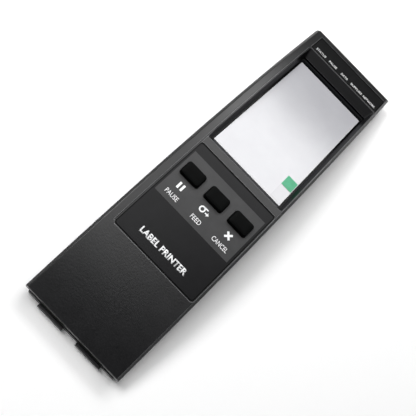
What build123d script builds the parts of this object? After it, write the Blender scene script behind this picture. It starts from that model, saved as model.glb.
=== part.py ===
from build123d import *
from math import cos, radians, sin, sqrt
import os

os.makedirs("parts", exist_ok=True)

# Front control panel of a desktop label printer, lying on its back.
# X runs across the panel, Y from its bottom end to its top end, Z out of its face.
# The origin is under the middle of the assembly, on the rear frame's flat back.
# Every "distance" is measured along Y from the panel's bottom end.

# ---------------------------------------------------------------- driving sizes, mm
panel_width = 73.0
panel_length = 271.0
crown = 17.9                  # how far the bowed face rises above its two ends
end_height = 12.0             # face above the back at both ends
rim_height = 6.0              # bezel rim above the back
wall = 2.4
edge_chamfer = 1.7
end_radius = 0.8              # round on the face's two end edges
corner_radius = 3.2
hook_reach = 2.4              # hook tabs beyond the bottom end

field_centre = 2.4            # labels and display sit right of the panel's middle
field_width = 64.0
pocket_depth = 0.5            # label pockets
label_thickness = 0.35
key_label_span = (56.2, 129.0)
status_label_span = (248.9, 265.1)
window_span = (134.2, 248.1)

key_names = ["pause", "feed", "cancel"]
key_centre = 2.0
key_pitch = 20.0
key_distance = 109.25
key_size = (14.4, 9.4)
key_corner = 1.7
key_height = 3.0              # above the face
key_travel = 1.2
key_gap = 0.3                 # running gap round each key
flange_depth = 2.75           # top of the key's flange under the face
flange_thickness = 1.2
flange_overlap = 1.2

film_start = 138.5
film_height = 25.2            # film's lower edge above the back
film_size = (57.3, 99.9)
film_thickness = 0.12
display_tilt = 7.28           # degrees, the display falls towards the top end
opening_size = (60.3, 106.0)
opening_middle = 51.9         # up the display plane, from the film's lower edge
gasket_thickness = 0.5
lip_thickness = 0.4
glass_size = (62.4, 109.2)
glass_middle = 52.2
glass_thickness = 1.1
module_size = (67.2, 105.5)
module_middle = 49.55
module_thickness = 3.0
bracket_size = (63.0, 110.5)
bracket_middle = 51.25
bracket_thickness = 0.8
bracket_flange = 1.2
ribbon_notch = (9.0, 16.0)    # lets the lamp ribbon rise past the bracket

board_size = (62.0, 64.0)
board_middle = -17.25         # along the board, from under the keys
board_depth = 10.2            # board's upper face under the panel's face
board_thickness = 1.6
display_socket_place = (8.0, 8.0)
board_socket_place = (-18.0, 8.0)
status_socket_place = (-18.0, -1.6)
switch_size = 8.0
switch_height = 4.3
plunger_radius = 2.4
plunger_length = 3.4

lamp_count = 5
lamp_centre = 2.05
lamp_pitch = 11.95
lamp_distance = 258.3
status_distance = 256.5
status_board_size = (66.0, 8.6)
status_board_depth = 6.4
status_board_thickness = 1.2
pipe_radius = 1.3
pipe_gap = 0.3

plate_thickness = 2.0
frame_half = 33.7
frame_wall = 1.8
frame_wall_top = 7.6
ledge_span = (-0.5, 2.7)      # solid bar that closes the panel's bottom end
frame_window_half = 23.0
frame_windows = [(17.0, 50.0), (60.0, 112.0), (134.0, 180.0), (188.0, 232.0)]
rib_height = 3.0
rib_width = 1.6
rib_margin = 2.5              # cross ribs beyond each frame window
hook_width = 19.0
hook_centre = 15.0
hook_thickness = 2.2
lip_height = 4.4
lip_width = 1.0

# ---------------------------------------------------------------- derived sizes
bottom_end = -(panel_length - hook_reach) / 2
top_end = bottom_end + panel_length
mid_y = (bottom_end + top_end) / 2
half_width = panel_width / 2
inner_half = half_width - wall
bow_radius = ((panel_length / 2) ** 2 + crown**2) / (2 * crown)
bow_centre = end_height + crown - bow_radius
module_depth = glass_thickness + module_thickness
bracket_depth = module_depth + bracket_thickness
board_back = board_depth + board_thickness
status_board_back = status_board_depth + status_board_thickness
flange_bottom = flange_depth + flange_thickness
tall = 45.0                   # more than the assembly's height


def along(distance):
    """Y of a point this far from the panel's bottom end."""
    return bottom_end + distance


def bow_height(distance, drop=0.0):
    """Height above the back of the face, or of the surface this far under it."""
    return bow_centre + sqrt((bow_radius - drop) ** 2 - (along(distance) - mid_y) ** 2)


def face_plane(distance, centre=0.0):
    """Plane that touches the bowed face, its Z pointing out of the panel."""
    lean = (along(distance) - mid_y) / bow_radius
    origin = (centre, along(distance), bow_height(distance))
    return Plane(origin=origin, x_dir=(1, 0, 0), z_dir=(0, lean, sqrt(1 - lean**2)))


def side_point(plane, up, rise):
    """Y and Z of a point on a leaning plane, for routes drawn from the side."""
    point = plane.from_local_coords((0, up, rise))
    return (point.Y, point.Z)


def bowed_block(width, start, stop, low, drop):
    """Solid between a level plane and the surface this far under the face."""
    with BuildPart() as block:
        with BuildSketch(Plane.YZ):
            with BuildLine():
                first = (along(start), bow_height(start, drop))
                last = (along(stop), bow_height(stop, drop))
                ThreePointArc(first, (mid_y, bow_centre + bow_radius - drop), last)
                Polyline(last, (along(stop), low), (along(start), low), first)
            make_face()
        extrude(amount=width / 2, both=True)
    return block.part


def bow_layer(outline, top_drop, bottom_drop):
    """What lies inside an outline seen from above, between two depths under the face."""
    with BuildPart() as layer:
        extrude(outline, amount=tall)
        with BuildSketch(Plane.YZ):
            with Locations((mid_y, bow_centre)):
                Circle(bow_radius - top_drop)
                Circle(bow_radius - bottom_drop, mode=Mode.SUBTRACT)
        extrude(amount=panel_width, both=True, mode=Mode.INTERSECT)
    return layer.part


def field_outline(width, span, corner, margin=0.0):
    """Rounded rectangle of the label field, seen from above."""
    with BuildSketch() as outline:
        with Locations((field_centre, along(sum(span) / 2))):
            length = span[1] - span[0] - 2 * margin
            RectangleRounded(width - 2 * margin, length, corner)
    return outline.sketch


def posts(plane, points, radius, height=tall):
    """Round posts that stand on a plane."""
    with BuildPart() as group:
        with BuildSketch(plane):
            with Locations(*points):
                Circle(radius)
        extrude(amount=height)
    return group.part


def screws(plane, points, head_radius, head_height, shank_radius, shank_length):
    """Pan-head screws that seat on a plane from behind, with hexagon sockets."""
    outwards = Axis(plane.origin, plane.z_dir)
    with BuildPart() as group:
        with BuildSketch(plane):
            with Locations(*points):
                Circle(head_radius)
        extrude(amount=-head_height)
        rims = group.edges().filter_by(GeomType.CIRCLE).sort_by(outwards)[: len(points)]
        chamfer(rims, head_height * 0.3)
        with BuildSketch(plane.offset(-head_height)):
            with Locations(*points):
                RegularPolygon(head_radius * 0.55, 6)
        extrude(amount=head_height * 0.6, mode=Mode.SUBTRACT)
        with BuildSketch(plane):
            with Locations(*points):
                Circle(shank_radius)
        extrude(amount=shank_length)
    return group


def slab(plane, size, middle, thickness, corner=0.5):
    """Flat rounded plate that rises from a plane."""
    with BuildPart() as plate:
        with BuildSketch(plane):
            with Locations(middle):
                RectangleRounded(size[0], size[1], corner)
        extrude(amount=thickness)
    return plate


# ---------------------------------------------------------------- working planes
key_plane = face_plane(key_distance, key_centre)
board_plane = face_plane(key_distance)
status_plane = face_plane(status_distance)
lamp_plane = face_plane(lamp_distance, lamp_centre)
tilt = radians(display_tilt)
display_plane = Plane(
    origin=(field_centre, along(film_start), film_height),
    x_dir=(1, 0, 0),
    z_dir=(0, sin(tilt), cos(tilt)),
)
window_low = (along(window_span[0]), bow_height(window_span[0]))
window_high = (along(window_span[1]), bow_height(window_span[1]))
window_run = window_high[0] - window_low[0]
window_fall = window_low[1] - window_high[1]
window_length = sqrt(window_run**2 + window_fall**2)
window_plane = Plane(
    origin=(field_centre, along(sum(window_span) / 2), (window_low[1] + window_high[1]) / 2),
    x_dir=(1, 0, 0),
    z_dir=(0, window_fall / window_length, window_run / window_length),
)

lamp_row = [(index - (lamp_count - 1) / 2) * lamp_pitch for index in range(lamp_count)]

# ---------------------------------------------------------------- screw places
frame_screw_points = [
    (side * across, along(distance))
    for across, distance in ((28.5, 10.0), (28.5, 54.0), (29.0, 264.2))
    for side in (-1, 1)
]
insert_points = [
    (side * 26.0, along(distance)) for distance in (123.0, 237.0) for side in (-1, 1)
]
board_screw_points = [(side * 27.8, up) for up in (-45.7, 11.2) for side in (-1, 1)]
bracket_screw_points = [
    (side * 28.0 - field_centre, up) for up in (-7.5, 110.0) for side in (-1, 1)
]
status_screw_points = [(side * 30.3, 0.0) for side in (-1, 1)]
pad_height = 4.0
boss_radius = 3.0
status_boss_radius = 2.2
insert_length = 5.0
insert_radius = 2.3
insert_thread_radius = 1.5
head_recess = 2.3             # depth of the frame screws' seats in the rear frame
frame_screw = (2.8, 2.0, 1.5, 8.6)      # head radius and height, shank radius and length
small_screw = (2.1, 1.5, 1.25, 5.0)
tiny_screw = (1.6, 1.1, 0.9, 4.2)
pilot_gap = 0.05

# ---------------------------------------------------------------- front bezel
with BuildPart() as bezel_blank:
    add(bowed_block(panel_width, 0, panel_length, rim_height, 0))
    top_corner = bezel_blank.edges().filter_by(Axis.Z).group_by(Axis.Y)[-1].sort_by(Axis.X)[0]
    fillet(top_corner, corner_radius)
    long_edges = bezel_blank.faces().sort_by(Axis.Z)[-1].edges().filter_by(
        lambda edge: edge.length > panel_length / 2
    )
    chamfer(long_edges, edge_chamfer)
    end_edges = bezel_blank.faces().sort_by(Axis.Z)[-1].edges().filter_by(Axis.X)
    fillet(end_edges, end_radius)

cavity = bowed_block(2 * inner_half, wall, panel_length - wall, 0, wall)
under_face = bowed_block(panel_width - 2, 1, panel_length - 1, 0, 1.2)

with BuildPart() as display_well:
    with BuildSketch(display_plane.offset(gasket_thickness)):
        with Locations((-field_centre, 50)):
            Rectangle(2 * inner_half + 1, 120)
    extrude(amount=16)
    add(under_face, mode=Mode.INTERSECT)

with BuildPart() as bosses:
    add(posts(Plane.XY.offset(pad_height), frame_screw_points, boss_radius))
    add(posts(board_plane.offset(-board_depth), board_screw_points, boss_radius))
    add(posts(display_plane.offset(-module_depth), bracket_screw_points, boss_radius))
    status_seat = status_plane.offset(-status_board_depth)
    add(posts(status_seat, status_screw_points, status_boss_radius))
    add(under_face, mode=Mode.INTERSECT)

with BuildSketch() as rib_outline:
    for distance in (18.0, 32.0, 46.0):
        with Locations((0, along(distance))):
            Rectangle(2 * inner_half + 0.5, 1.2)
    with GridLocations(24.0, 1, 2, 1):
        with Locations((0, along(31.0))):
            Rectangle(1.2, 50.0)
ribs = bow_layer(rib_outline.sketch, 1.2, 5.5)

with BuildSketch(display_plane.offset(gasket_thickness + lip_thickness)) as opening_outline:
    with Locations((0, opening_middle)):
        RectangleRounded(opening_size[0], opening_size[1], 1.0)

with BuildSketch(window_plane) as window_outline:
    RectangleRounded(field_width, window_length, 1.5)

with BuildPart() as display_recess:
    loft([opening_outline.sketch, window_outline.sketch])
    extrude(window_outline.sketch, amount=8, dir=(0, 0, 1))
    extrude(opening_outline.sketch, amount=-3)

key_label_pocket = bow_layer(field_outline(field_width, key_label_span, 2.0), -3, pocket_depth)
status_label_width = field_width + 0.6
status_label_pocket = bow_layer(
    field_outline(status_label_width, status_label_span, 0.8), -3, pocket_depth
)
with BuildSketch() as groove_outline:
    with Locations((field_centre - field_width / 2 - 0.2, along(152.0))):
        Rectangle(0.9, 189.0)
groove = bow_layer(groove_outline.sketch, -3, 0.8)

with BuildPart() as front_bezel:
    add(bezel_blank.part)
    add(cavity, mode=Mode.SUBTRACT)
    add(display_well.part)
    add(bosses.part)
    add(ribs)
    with BuildSketch(display_plane.offset(gasket_thickness)):
        with Locations((0, glass_middle)):
            Rectangle(glass_size[0] + 0.6, glass_size[1] + 0.6)
    extrude(amount=-gasket_thickness - module_depth, mode=Mode.SUBTRACT)
    with BuildSketch(display_plane.offset(-glass_thickness)):
        with Locations((-field_centre, module_middle)):
            Rectangle(module_size[0] + 0.6, module_size[1] + 0.6)
    extrude(amount=-module_thickness - 3, mode=Mode.SUBTRACT)
    add(display_recess.part, mode=Mode.SUBTRACT)
    add(groove, mode=Mode.SUBTRACT)
    add(key_label_pocket, mode=Mode.SUBTRACT)
    add(status_label_pocket, mode=Mode.SUBTRACT)
    with BuildSketch(key_plane.offset(2)):
        with GridLocations(key_pitch, 1, len(key_names), 1):
            RectangleRounded(key_size[0] + 2 * key_gap, key_size[1] + 2 * key_gap, key_corner)
    extrude(amount=-7, mode=Mode.SUBTRACT)
    add(
        posts(lamp_plane.offset(-6), [(across, 0) for across in lamp_row], pipe_radius + pipe_gap),
        mode=Mode.SUBTRACT,
    )
    for plane, points, screw, depth in (
        (Plane.XY, frame_screw_points, frame_screw, pad_height + 7.2),
        (board_plane.offset(-board_depth - 1), board_screw_points, small_screw, 5.0),
        (display_plane.offset(-module_depth - 1), bracket_screw_points, small_screw, 5.4),
        (status_seat.offset(-1), status_screw_points, tiny_screw, 4.4),
    ):
        add(posts(plane, points, screw[2] + pilot_gap, depth), mode=Mode.SUBTRACT)
front_bezel.part.label = "front_bezel"
export_step(front_bezel.part, "parts/front_bezel.step")

# ---------------------------------------------------------------- rear frame
frame_start = wall + 0.4
frame_stop = panel_length - wall - 0.4
wall_length = frame_stop - frame_start
inner_frame_half = frame_half - frame_wall

with BuildPart() as rear_frame:
    with BuildSketch():
        with Locations((0, along((ledge_span[0] + frame_stop) / 2))):
            Rectangle(2 * frame_half, frame_stop - ledge_span[0])
    extrude(amount=plate_thickness)
    with BuildSketch():
        with Locations((0, along(sum(ledge_span) / 2))):
            Rectangle(2 * frame_half, ledge_span[1] - ledge_span[0])
    extrude(amount=rim_height - 0.2)
    with BuildSketch():
        with Locations((0, along((frame_start + frame_stop) / 2))):
            Rectangle(2 * frame_half, wall_length)
            Rectangle(2 * inner_frame_half, wall_length - 2 * frame_wall, mode=Mode.SUBTRACT)
    extrude(amount=frame_wall_top)
    with BuildSketch():
        for span in frame_windows:
            for distance in (span[0] - rib_margin, span[1] + rib_margin):
                with Locations((0, along(distance))):
                    Rectangle(2 * inner_frame_half, rib_width)
        with GridLocations(2 * (frame_window_half + 1.8), 1, 2, 1):
            with Locations((0, along(124.5))):
                Rectangle(rib_width, 220.0)
    extrude(amount=plate_thickness + rib_height)
    with BuildSketch():
        for span in frame_windows:
            with Locations((0, along(sum(span) / 2))):
                RectangleRounded(2 * frame_window_half, span[1] - span[0], 3.0)
    extrude(amount=tall, mode=Mode.SUBTRACT)
    add(posts(Plane.XY, frame_screw_points, boss_radius + 1.0, pad_height))
    pad_tops = Plane.XY.offset(pad_height)
    add(posts(pad_tops, frame_screw_points, boss_radius + 0.3), mode=Mode.SUBTRACT)
    add(posts(Plane.XY, insert_points, 2 * insert_radius, insert_length + 0.5))
    for points, radius, depth in (
        (frame_screw_points, frame_screw[2] + 0.2, pad_height),
        (frame_screw_points, frame_screw[0] + 0.3, head_recess),
        (insert_points, insert_radius, insert_length + 0.5),
    ):
        add(posts(Plane.XY, points, radius, depth), mode=Mode.SUBTRACT)
    with BuildSketch(Plane.XY.offset(rim_height)):
        with Locations((0, along(status_distance))):
            Rectangle(panel_width, status_board_size[1] + 4)
    extrude(amount=tall, mode=Mode.SUBTRACT)
    for side in (-1, 1):
        with BuildSketch(Plane.YZ.offset(side * hook_centre)):
            with BuildLine():
                Polyline(
                    (along(ledge_span[0]), 0),
                    (along(-hook_reach), 0),
                    (along(-hook_reach), lip_height),
                    (along(-hook_reach + lip_width), lip_height),
                    (along(-hook_reach + lip_width), hook_thickness),
                    (along(ledge_span[0]), hook_thickness),
                    close=True,
                )
            make_face()
        extrude(amount=hook_width / 2, both=True)
rear_frame.part.label = "rear_frame"
export_step(rear_frame.part, "parts/rear_frame.step")

frame_screws = screws(Plane.XY.offset(head_recess), frame_screw_points, *frame_screw)
frame_screws.part.label = "frame_screws"
export_step(frame_screws.part, "parts/frame_screws.step")

groove_height = 0.5
groove_depth = 0.35
with BuildPart() as mounting_inserts:
    add(posts(Plane.XY, insert_points, insert_radius, insert_length))
    for height in (1.6, 3.2):
        level = Plane.XY.offset(height)
        add(posts(level, insert_points, insert_radius, groove_height), mode=Mode.SUBTRACT)
        add(posts(level, insert_points, insert_radius - groove_depth, groove_height))
    add(posts(Plane.XY, insert_points, insert_thread_radius, insert_length), mode=Mode.SUBTRACT)
mounting_inserts.part.label = "mounting_inserts"
export_step(mounting_inserts.part, "parts/mounting_inserts.step")

# ---------------------------------------------------------------- overlays
label_top = pocket_depth - label_thickness

with BuildPart() as key_label:
    outline = field_outline(field_width, key_label_span, 1.8, 0.4)
    add(bow_layer(outline, label_top, pocket_depth))
    with BuildSketch(key_plane.offset(2)):
        with GridLocations(key_pitch, 1, len(key_names), 1):
            RectangleRounded(key_size[0] + 2.4 * key_gap, key_size[1] + 2.4 * key_gap, key_corner)
    extrude(amount=-4, mode=Mode.SUBTRACT)
key_label.part.label = "key_label"
export_step(key_label.part, "parts/key_label.step")

with BuildPart() as status_label:
    outline = field_outline(status_label_width, status_label_span, 0.6, 0.25)
    add(bow_layer(outline, label_top, pocket_depth))
status_label.part.label = "status_label"
export_step(status_label.part, "parts/status_label.step")

# ---------------------------------------------------------------- keys and switches
for index, name in enumerate(key_names):
    key_offset = (index - 1) * key_pitch
    with BuildPart() as keycap:
        with BuildSketch(key_plane.offset(-flange_bottom)):
            with Locations((key_offset, 0)):
                RectangleRounded(
                    key_size[0] + 2 * flange_overlap, key_size[1] + 2 * flange_overlap, key_corner
                )
        extrude(amount=flange_thickness)
        with BuildSketch(key_plane.offset(-flange_depth)):
            with Locations((key_offset, 0)):
                RectangleRounded(*key_size, key_corner)
        extrude(amount=flange_depth + key_height)
        outwards = Axis(key_plane.origin, key_plane.z_dir)
        fillet(keycap.faces().sort_by(outwards)[-1].edges(), 1.0)
        with BuildSketch(key_plane.offset(-flange_bottom)):
            with Locations((key_offset, 0)):
                RectangleRounded(key_size[0] - 3, key_size[1] - 3, 0.8)
                Circle(plunger_radius + 0.6, mode=Mode.SUBTRACT)
        extrude(amount=4.2, mode=Mode.SUBTRACT)
    keycap.part.label = f"{name}_key"
    export_step(keycap.part, f"parts/{name}_key.step")

    with BuildPart() as plunger:
        with BuildSketch(key_plane.offset(-flange_bottom)):
            with Locations((key_offset, 0)):
                Circle(plunger_radius)
        extrude(amount=-plunger_length)
        chamfer(plunger.edges().filter_by(GeomType.CIRCLE), 0.25)
    plunger.part.label = f"{name}_plunger"
    export_step(plunger.part, f"parts/{name}_plunger.step")

with BuildPart() as switch_bodies:
    with BuildSketch(key_plane.offset(-board_depth)):
        with GridLocations(key_pitch, 1, len(key_names), 1):
            Rectangle(switch_size, switch_size)
    extrude(amount=switch_height)
    corners = switch_bodies.edges().filter_by(lambda edge: abs(edge.length - switch_height) < 0.01)
    chamfer(corners, 0.6)
    with BuildSketch(key_plane.offset(-flange_bottom - plunger_length - key_travel - key_gap)):
        with GridLocations(key_pitch, 1, len(key_names), 1):
            Circle(plunger_radius + key_gap)
    extrude(amount=switch_height, mode=Mode.SUBTRACT)
switch_bodies.part.label = "switch_bodies"
export_step(switch_bodies.part, "parts/switch_bodies.step")

# ---------------------------------------------------------------- display
display_film = slab(display_plane, film_size, (0, film_size[1] / 2), film_thickness)
display_film.part.label = "display_film"
export_step(display_film.part, "parts/display_film.step")

tab_plane = display_plane.offset(film_thickness)
pull_tab = slab(tab_plane, (8.3, 8.7), (24.2, 17.45), 0.15, 0.3)
pull_tab.part.label = "pull_tab"
export_step(pull_tab.part, "parts/pull_tab.step")

tab_base = slab(tab_plane, (8.3, 11.7), (24.2, 7.1), 0.08, 0.3)
tab_base.part.label = "tab_base"
export_step(tab_base.part, "parts/tab_base.step")

touch_glass = slab(
    display_plane.offset(-glass_thickness), glass_size, (0, glass_middle), glass_thickness, 1.5
)
touch_glass.part.label = "touch_glass"
export_step(touch_glass.part, "parts/touch_glass.step")

with BuildPart() as display_gasket:
    with BuildSketch(display_plane):
        with Locations((0, glass_middle)):
            RectangleRounded(glass_size[0], glass_size[1], 1.4)
        with Locations((0, opening_middle)):
            RectangleRounded(opening_size[0] + 0.8, opening_size[1] + 0.8, 1.0, mode=Mode.SUBTRACT)
    extrude(amount=gasket_thickness)
display_gasket.part.label = "display_gasket"
export_step(display_gasket.part, "parts/display_gasket.step")

module_place = (-field_centre, module_middle)
cell_size = (module_size[0] - 2.0, module_size[1] - 2.0)
cell_thickness = 1.2

with BuildPart() as lcd_frame:
    add(slab(display_plane.offset(-module_depth), module_size, module_place, module_thickness).part)
    with BuildSketch(display_plane.offset(-glass_thickness)):
        with Locations(module_place):
            Rectangle(cell_size[0] + 0.4, cell_size[1] + 0.4)
    extrude(amount=-2 * cell_thickness - 0.1, mode=Mode.SUBTRACT)
lcd_frame.part.label = "lcd_frame"
export_step(lcd_frame.part, "parts/lcd_frame.step")

lcd_cell = slab(
    display_plane.offset(-glass_thickness - cell_thickness), cell_size, module_place, cell_thickness
)
lcd_cell.part.label = "lcd_cell"
export_step(lcd_cell.part, "parts/lcd_cell.step")

backlight_guide = slab(
    display_plane.offset(-glass_thickness - 2 * cell_thickness - 0.1),
    cell_size, module_place, cell_thickness,
)
backlight_guide.part.label = "backlight_guide"
export_step(backlight_guide.part, "parts/backlight_guide.step")

with BuildPart() as display_bracket:
    with BuildSketch(display_plane.offset(-bracket_depth)):
        with Locations((-field_centre, bracket_middle)):
            RectangleRounded(*bracket_size, 2.0)
        with Locations(*bracket_screw_points):
            RectangleRounded(7.2, 7.2, 2.0)
        with GridLocations(56.0, 1, 2, 1):
            with Locations((-field_centre, bracket_middle)):
                Rectangle(7.2, bracket_size[1] + 2.5)
        with Locations((-field_centre, 50.0)):
            RectangleRounded(40.0, 68.0, 3.0, mode=Mode.SUBTRACT)
        with Locations((board_socket_place[0] - field_centre, 104.0)):
            Rectangle(*ribbon_notch, mode=Mode.SUBTRACT)
        with Locations(*bracket_screw_points):
            Circle(small_screw[2] + 0.15, mode=Mode.SUBTRACT)
    extrude(amount=bracket_thickness)
    with BuildSketch(display_plane.offset(-bracket_depth)):
        with GridLocations(bracket_size[0] - bracket_thickness, 1, 2, 1):
            with Locations((-field_centre, bracket_middle)):
                Rectangle(bracket_thickness, 96.0)
    extrude(amount=-bracket_flange)
display_bracket.part.label = "display_bracket"
export_step(display_bracket.part, "parts/display_bracket.step")

bracket_screws = screws(display_plane.offset(-bracket_depth), bracket_screw_points, *small_screw)
bracket_screws.part.label = "bracket_screws"
export_step(bracket_screws.part, "parts/bracket_screws.step")

# ---------------------------------------------------------------- control board
board_back_plane = board_plane.offset(-board_back)

with BuildPart() as control_board:
    add(slab(board_back_plane, board_size, (0, board_middle), board_thickness, 2.0).part)
    add(
        posts(board_back_plane, board_screw_points, small_screw[2] + 0.2, board_thickness),
        mode=Mode.SUBTRACT,
    )
control_board.part.label = "control_board"
export_step(control_board.part, "parts/control_board.step")

board_screws = screws(board_back_plane, board_screw_points, *small_screw)
board_screws.part.label = "board_screws"
export_step(board_screws.part, "parts/board_screws.step")

chip_lift = 0.2               # chip bodies over the board
lead_thickness = 0.4

chip_place = (4.0, -15.0)
chip_side = 14.0
chip_height = 1.4
chip_lead_count = 14
chip_lead_pitch = 0.8
chip_lead_width = 0.35
with BuildPart() as controller_chip:
    with BuildSketch(board_back_plane.offset(-chip_lift)):
        with Locations(chip_place):
            Rectangle(chip_side, chip_side)
    extrude(amount=-chip_height)
    with BuildSketch(board_back_plane):
        with Locations(chip_place):
            with GridLocations(chip_lead_pitch, 1, chip_lead_count, 1):
                Rectangle(chip_lead_width, chip_side + 2.4)
            with GridLocations(1, chip_lead_pitch, 1, chip_lead_count):
                Rectangle(chip_side + 2.4, chip_lead_width)
    extrude(amount=-lead_thickness)
controller_chip.part.label = "controller_chip"
export_step(controller_chip.part, "parts/controller_chip.step")

flash_place = (22.0, -15.0)
flash_side = 5.3
flash_span = 7.9              # over its leads
flash_lead_pitch = 1.27
with BuildPart() as flash_chip:
    with BuildSketch(board_back_plane.offset(-chip_lift)):
        with Locations(flash_place):
            Rectangle(flash_side, flash_side)
    extrude(amount=-1.5)
    with BuildSketch(board_back_plane):
        with Locations(flash_place):
            with GridLocations(1, flash_lead_pitch, 1, 4):
                Rectangle(flash_span, lead_thickness)
    extrude(amount=-lead_thickness)
flash_chip.part.label = "flash_chip"
export_step(flash_chip.part, "parts/flash_chip.step")

crystal_place = (-10.0, -15.0)
crystal_size = (5.0, 3.2, 1.1)
with BuildPart() as crystal:
    with BuildSketch(board_back_plane):
        with Locations(crystal_place):
            RectangleRounded(crystal_size[0], crystal_size[1], 0.4)
    extrude(amount=-crystal_size[2])
crystal.part.label = "crystal"
export_step(crystal.part, "parts/crystal.step")

capacitor_places = [(-22.0, up) for up in (-30.0, -21.5, -13.0)]
capacitor_base = (6.6, 0.8)   # side and thickness
capacitor_can = (3.15, 4.8)   # radius and height
with BuildPart() as capacitors:
    with BuildSketch(board_back_plane):
        with Locations(*capacitor_places):
            Rectangle(capacitor_base[0], capacitor_base[0])
    extrude(amount=-capacitor_base[1])
    with BuildSketch(board_back_plane.offset(-capacitor_base[1])):
        with Locations(*capacitor_places):
            Circle(capacitor_can[0])
    extrude(amount=-capacitor_can[1])
capacitors.part.label = "capacitors"
export_step(capacitors.part, "parts/capacitors.step")

resistor_groups = [(4.0, -1.0), (-6.0, -24.5), (20.0, -25.0)]
resistor_size = (1.6, 0.8, 0.5)
with BuildPart() as chip_resistors:
    with BuildSketch(board_back_plane):
        with Locations(*resistor_groups):
            with GridLocations(3.0, 1.8, 4, 2):
                Rectangle(resistor_size[0], resistor_size[1])
    extrude(amount=-resistor_size[2])
chip_resistors.part.label = "chip_resistors"
export_step(chip_resistors.part, "parts/chip_resistors.step")

header_place = (0.0, -38.0)
header_size = (32.0, 9.4)
header_height = 9.0
header_floor = 1.6
header_walls = (2.4, 2.6)     # both walls together, across and along
key_slot = (4.5, 3.0)
pin_count = 11                # in each of two rows
pin_pitch = 2.5
pin_side = 0.64
with BuildPart() as harness_connector:
    with BuildSketch(board_back_plane):
        with Locations(header_place):
            Rectangle(*header_size)
    extrude(amount=-header_height)
    with BuildSketch(board_back_plane.offset(-header_floor)):
        with Locations(header_place):
            Rectangle(header_size[0] - header_walls[0], header_size[1] - header_walls[1])
    extrude(amount=-header_height, mode=Mode.SUBTRACT)
    with BuildSketch(board_back_plane.offset(-3.5)):
        with Locations((header_place[0], header_place[1] + header_size[1] / 2 - 0.7)):
            Rectangle(*key_slot)
    extrude(amount=-header_height, mode=Mode.SUBTRACT)
    with BuildSketch(board_back_plane):
        with Locations(header_place):
            with GridLocations(pin_pitch, pin_pitch, pin_count, 2):
                Rectangle(pin_side + 0.06, pin_side + 0.06)
    extrude(amount=-header_floor, mode=Mode.SUBTRACT)
harness_connector.part.label = "harness_connector"
export_step(harness_connector.part, "parts/harness_connector.step")

with BuildPart() as harness_pins:
    with BuildSketch(board_back_plane):
        with Locations(header_place):
            with GridLocations(pin_pitch, pin_pitch, pin_count, 2):
                Rectangle(pin_side, pin_side)
    extrude(amount=-7.6)
harness_pins.part.label = "harness_pins"
export_step(harness_pins.part, "parts/harness_pins.step")


ribbon_slot = 0.5
socket_height = 2.4


def ribbon_socket(plane, place, size, height, slot_width, opens_up):
    """Low ribbon connector under a board, its slot facing up or down the panel."""
    with BuildPart() as socket:
        with BuildSketch(plane):
            with Locations(place):
                Rectangle(*size)
        extrude(amount=-height)
        slot_middle = place[1] + (1 if opens_up else -1) * (size[1] / 2 - 1.0)
        with BuildSketch(plane.offset(-height / 2 - ribbon_slot / 2)):
            with Locations((place[0], slot_middle)):
                Rectangle(slot_width, 2.0)
        extrude(amount=ribbon_slot, mode=Mode.SUBTRACT)
    return socket


display_connector = ribbon_socket(
    board_back_plane, display_socket_place, (23.0, 5.0), socket_height, 20.4, True
)
display_connector.part.label = "display_connector"
export_step(display_connector.part, "parts/display_connector.step")

ribbon_connector = ribbon_socket(
    board_back_plane, board_socket_place, (9.0, 5.0), socket_height, 6.4, True
)
ribbon_connector.part.label = "ribbon_connector"
export_step(ribbon_connector.part, "parts/ribbon_connector.step")

# ---------------------------------------------------------------- status lamps
status_back_plane = status_plane.offset(-status_board_back)
lamp_shift = (lamp_distance - status_distance) / status_plane.z_dir.Z
lamp_points = [(lamp_centre + across, lamp_shift) for across in lamp_row]

with BuildPart() as status_board:
    add(slab(status_back_plane, status_board_size, (0, 0), status_board_thickness, 1.0).part)
    add(
        posts(status_back_plane, status_screw_points, tiny_screw[2] + 0.2, status_board_thickness),
        mode=Mode.SUBTRACT,
    )
status_board.part.label = "status_board"
export_step(status_board.part, "parts/status_board.step")

led_height = 0.7
with BuildPart() as status_leds:
    with BuildSketch(status_seat):
        with Locations(*lamp_points):
            Rectangle(3.0, 2.0)
    extrude(amount=led_height)
    with BuildSketch(status_seat.offset(led_height)):
        with Locations(*lamp_points):
            Rectangle(2.2, 1.6)
    extrude(amount=0.3)
status_leds.part.label = "status_leds"
export_step(status_leds.part, "parts/status_leds.step")

with BuildPart() as light_pipes:
    with BuildSketch(status_plane.offset(-4.2)):
        with Locations((lamp_centre, lamp_shift)):
            RectangleRounded(51.0, 6.0, 1.0)
    extrude(amount=1.4)
    add(posts(status_plane.offset(-5.2), lamp_points, 1.5, 1.5))
    add(posts(status_plane.offset(-3.0), lamp_points, pipe_radius, 2.4))
light_pipes.part.label = "light_pipes"
export_step(light_pipes.part, "parts/light_pipes.step")

status_board_screws = screws(status_back_plane, status_screw_points, *tiny_screw)
status_board_screws.part.label = "status_board_screws"
export_step(status_board_screws.part, "parts/status_board_screws.step")

status_socket = ribbon_socket(
    status_back_plane, status_socket_place, (9.0, 5.0), socket_height, 6.4, False
)
status_socket.part.label = "status_socket"
export_step(status_socket.part, "parts/status_socket.step")

# ---------------------------------------------------------------- ribbon cables
ribbon_thickness = 0.3
ribbon_bend = 2.0


def ribbon(centre, width, points):
    """Flat cable of one width along straight runs joined by bends, drawn from the side."""
    with BuildPart() as cable:
        with BuildLine(Plane.YZ.offset(centre)) as route:
            FilletPolyline(*points, radius=ribbon_bend)
        with BuildSketch(Plane(route.line @ 0, x_dir=(1, 0, 0), z_dir=route.line % 0)):
            Rectangle(width, ribbon_thickness)
        sweep()
    return cable


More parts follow.
